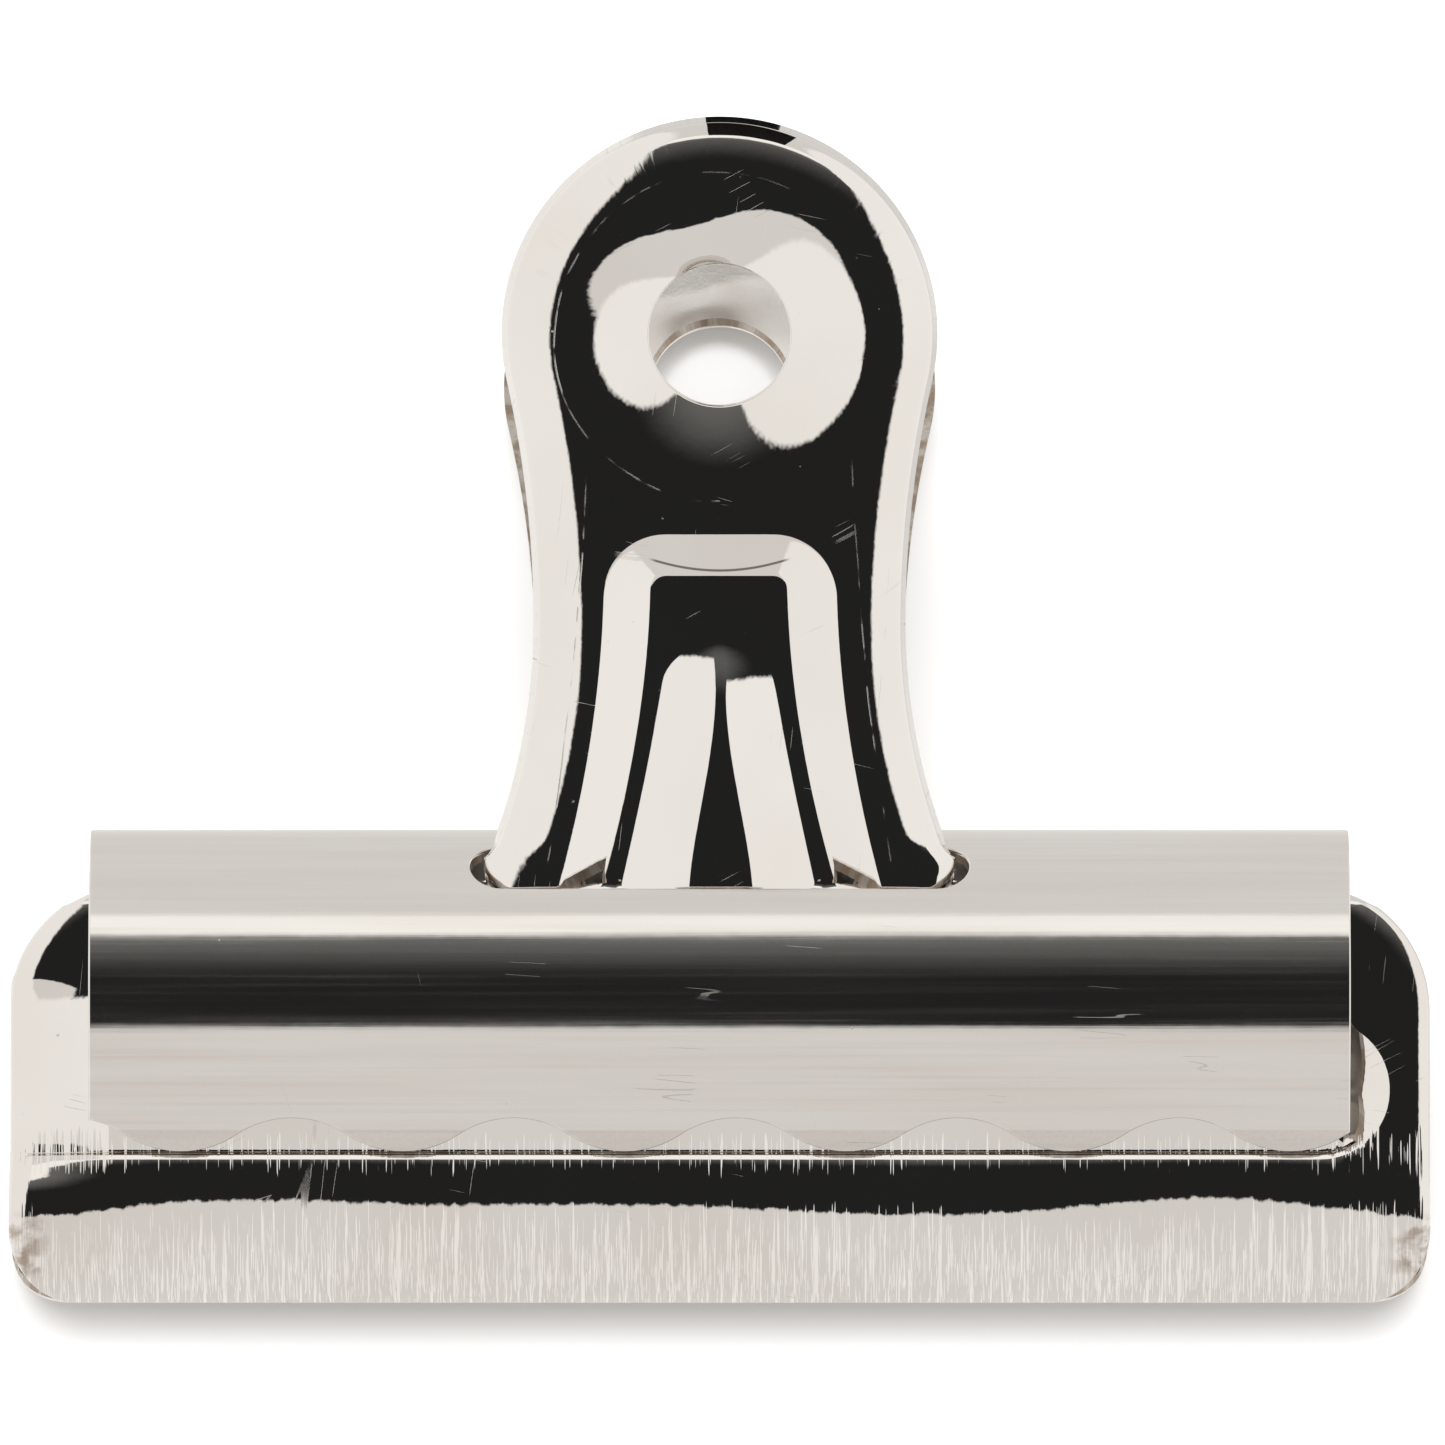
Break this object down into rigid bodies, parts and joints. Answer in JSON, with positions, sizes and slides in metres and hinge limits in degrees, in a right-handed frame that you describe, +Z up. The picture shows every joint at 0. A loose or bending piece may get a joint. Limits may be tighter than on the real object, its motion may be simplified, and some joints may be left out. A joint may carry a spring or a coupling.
{
  "type": "bulldog clip",
  "caption": "Sprung sheet-steel paper clip: two levers with round holed handles and wide jaw plates, held shut by a slotted round-backed spring.",
  "frame": {"origin": "on the surface the clip lies on, under the middle of its bounding box", "axes": "the clip lies on its back: +X across the jaws, +Y from the gripping edge towards the handles, +Z up out of the front lever"},
  "size_m": [0.0572, 0.0481, 0.025],
  "materials": {
    "spring_nickel": "bright nickel plate over cold-rolled spring steel, mirror-like with fine die lines",
    "lever_nickel": "bright nickel plate over cold-rolled spring steel, mirror-like with fine die lines"
  },
  "bodies": {
    "spring_back": {"spring_back": "spring_nickel"},
    "front_lever": {"front_lever": "lever_nickel", "spring_front_leg": "spring_nickel"},
    "rear_lever": {"rear_lever": "lever_nickel", "spring_rear_leg": "spring_nickel"}
  },
  "joints": [
    {"name": "front_lever_pivot", "type": "hinge", "parent": "spring_back", "child": "front_lever", "pos_m": [0, -0.00709, 0.01101], "axis": [-1, 0, 0], "range_deg": [0, 20], "stiffness_Nm_per_rad": 0.15, "springref_deg": -20.05},
    {"name": "rear_lever_pivot", "type": "hinge", "parent": "spring_back", "child": "rear_lever", "pos_m": [0, -0.00586, 0.00404], "axis": [1, 0, 0], "range_deg": [0, 20], "stiffness_Nm_per_rad": 0.15, "springref_deg": -20.05}
  ],
  "couplings": [
    {"joint": "rear_lever_pivot", "follows": "front_lever_pivot", "ratio": 1}
  ]
}
